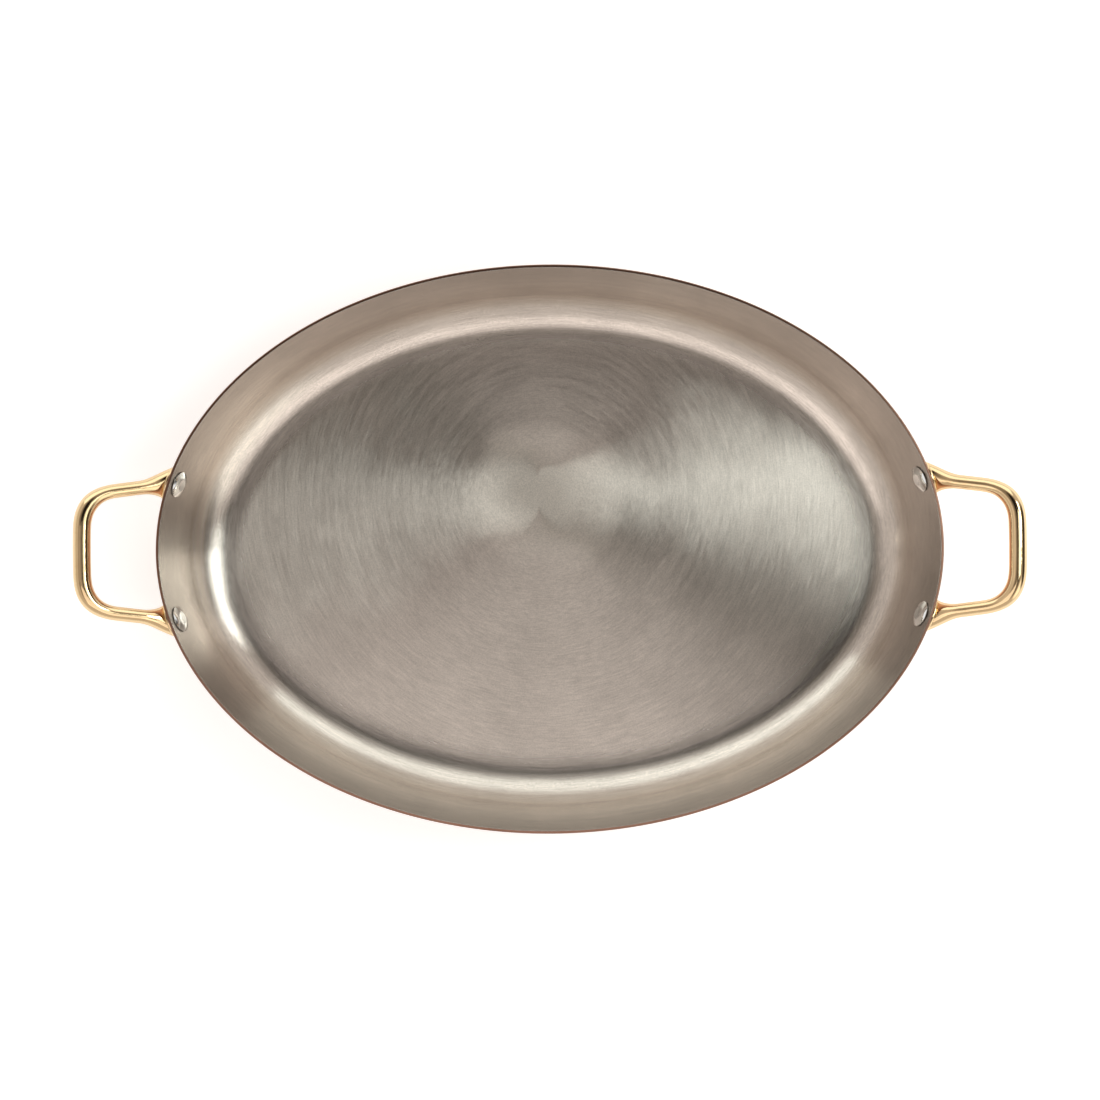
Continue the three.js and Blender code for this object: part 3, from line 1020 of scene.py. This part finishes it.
class Sky(Nodes):
    """The room's light, drawn by direction: each patch blends one brightness into the rest."""

    def __init__(self, scene, tint):
        world = bpy.data.worlds.new("Studio")
        scene.world = world
        world.use_nodes = True
        super().__init__(world.node_tree)
        self.way = self.add("ShaderNodeTexCoord").outputs["Generated"]
        self.height = self.add("ShaderNodeSeparateXYZ", {0: self.way}).outputs["Z"]
        self.light = (*tint, 1)

    def patch(self, away, round_from, core, edge, tint, share=1.0):
        """A round patch, away degrees from straight up and round_from degrees from +X.

        It is full out to core degrees from its middle, and fades out by edge degrees.
        """
        tilt, turn, core, edge = map(math.radians, (away, round_from, core, edge))
        flat = math.sin(tilt)
        middle = (flat * math.cos(turn), flat * math.sin(turn), math.cos(tilt))
        near = self.ease(
            self.vector("DOT_PRODUCT", self.way, middle), math.cos(edge), math.cos(core)
        )
        self.light = self.blend(self.sums("MULTIPLY", near, share), self.light, (*tint, 1))

    def horizon(self, low, high, tint):
        """A band at this brightness up to a height, which fades out by another."""
        self.light = self.blend(self.ease(self.height, high, low), self.light, (*tint, 1))

    def finish(self):
        background = self.tree.nodes["Background"]
        self.feed(background.inputs["Color"], self.light)
        self.feed(background.inputs["Strength"], 1.0)


def room_light(scene):
    """Soft light from all round, white at the horizon and dim overhead, for the steel to mirror.

    The steel's tones are what it mirrors, so the patches stand where the floor and wall need them.
    """
    sky = Sky(scene, (0.70, 0.66, 0.62))
    # Dim overhead, with a bright place to the front right
    sky.patch(0, 0, core=24, edge=54, tint=(0.20, 0.175, 0.15), share=0.95)
    sky.patch(62, 325, core=8, edge=26, tint=(1.8, 1.8, 1.68), share=0.85)
    # Two dark places close to straight up, which make the floor's dark parts
    sky.patch(15, 80, core=13, edge=25, tint=(0.015, 0.013, 0.012))
    sky.patch(14, 345, core=6, edge=14, tint=(0.02, 0.018, 0.016), share=0.9)
    # A white horizon, apart from a dark stretch at the right
    sky.horizon(0.12, 0.22, (1.0, 1.0, 1.0))
    sky.patch(76, 0, core=14, edge=30, tint=(0.045, 0.035, 0.03), share=0.97)
    sky.finish()


def add_table():
    select_only()
    bpy.ops.mesh.primitive_plane_add(size=1, location=(0, 0, 0))
    table = bpy.context.object
    table.name = table.data.name = "Table"
    bpy.ops.object.mode_set(mode="EDIT")
    bpy.ops.transform.resize(value=(TABLE_SIZE, TABLE_SIZE, 1), center_override=(0, 0, 0))
    bpy.ops.mesh.subdivide(number_cuts=TABLE_CUTS)
    bpy.ops.object.mode_set(mode="OBJECT")
    table.data.materials.append(table_top())


def add_camera(scene):
    """The camera straight above the dish, turned by as little as the picture is."""
    select_only()
    bpy.ops.object.camera_add(location=CAMERA_PLACE, rotation=(0, 0, CAMERA_TURN))
    camera = bpy.context.object
    camera.name = camera.data.name = "Camera"
    camera.data.lens = CAMERA_LENS
    camera.data.sensor_width = CAMERA_SENSOR
    camera.data.clip_start = CAMERA_NEAREST
    scene.camera = camera


class DISH_OT_stage(Operator):
    """Sets the pale table, the soft studio light and the camera straight above the dish"""

    bl_idname = "dish.stage"
    bl_label = "Stage"
    bl_options = {"REGISTER", "UNDO"}

    def execute(self, context):
        scene = context.scene
        scene.view_settings.view_transform = "Standard"
        add_table()
        room_light(scene)
        for lamp in LAMPS:
            soft_light(*lamp)
        add_camera(scene)
        return {"FINISHED"}


class DISH_PT_parts(Panel):
    """Lists the dish's pieces and its stage"""

    bl_idname = "DISH_PT_parts"
    bl_label = "Oval serving dish"
    bl_space_type = "VIEW_3D"
    bl_region_type = "UI"
    bl_category = "Oval dish"

    def draw(self, context):
        for operator in OPERATORS:
            self.layout.operator(operator.bl_idname)


OPERATORS = (
    DISH_OT_copper_shell,
    DISH_OT_steel_lining,
    DISH_OT_handles,
    DISH_OT_rivets,
    DISH_OT_stage,
)
SETTINGS = (
    ("dish_sizes", DishSizes),
    ("dish_handles", HandleSizes),
    ("dish_rivets", RivetSizes),
    ("dish_colours", DishColours),
)


def register():
    for name, group in SETTINGS:
        bpy.utils.register_class(group)
        setattr(bpy.types.Scene, name, PointerProperty(type=group))
    for kind in (*OPERATORS, DISH_PT_parts):
        bpy.utils.register_class(kind)


def unregister():
    for kind in (DISH_PT_parts, *reversed(OPERATORS)):
        bpy.utils.unregister_class(kind)
    for name, group in reversed(SETTINGS):
        delattr(bpy.types.Scene, name)
        bpy.utils.unregister_class(group)


def clear_start_up():
    """Takes out the start-up file's own cube, lamp and camera."""
    for name in ("Cube", "Light", "Camera"):
        found = bpy.data.objects.get(name)
        if found:
            bpy.data.objects.remove(found)


def main():
    clear_start_up()
    register()
    bpy.ops.dish.copper_shell()
    bpy.ops.dish.steel_lining()
    bpy.ops.dish.handles()
    bpy.ops.dish.rivets()
    bpy.ops.dish.stage()


if __name__ == "__main__":
    main()
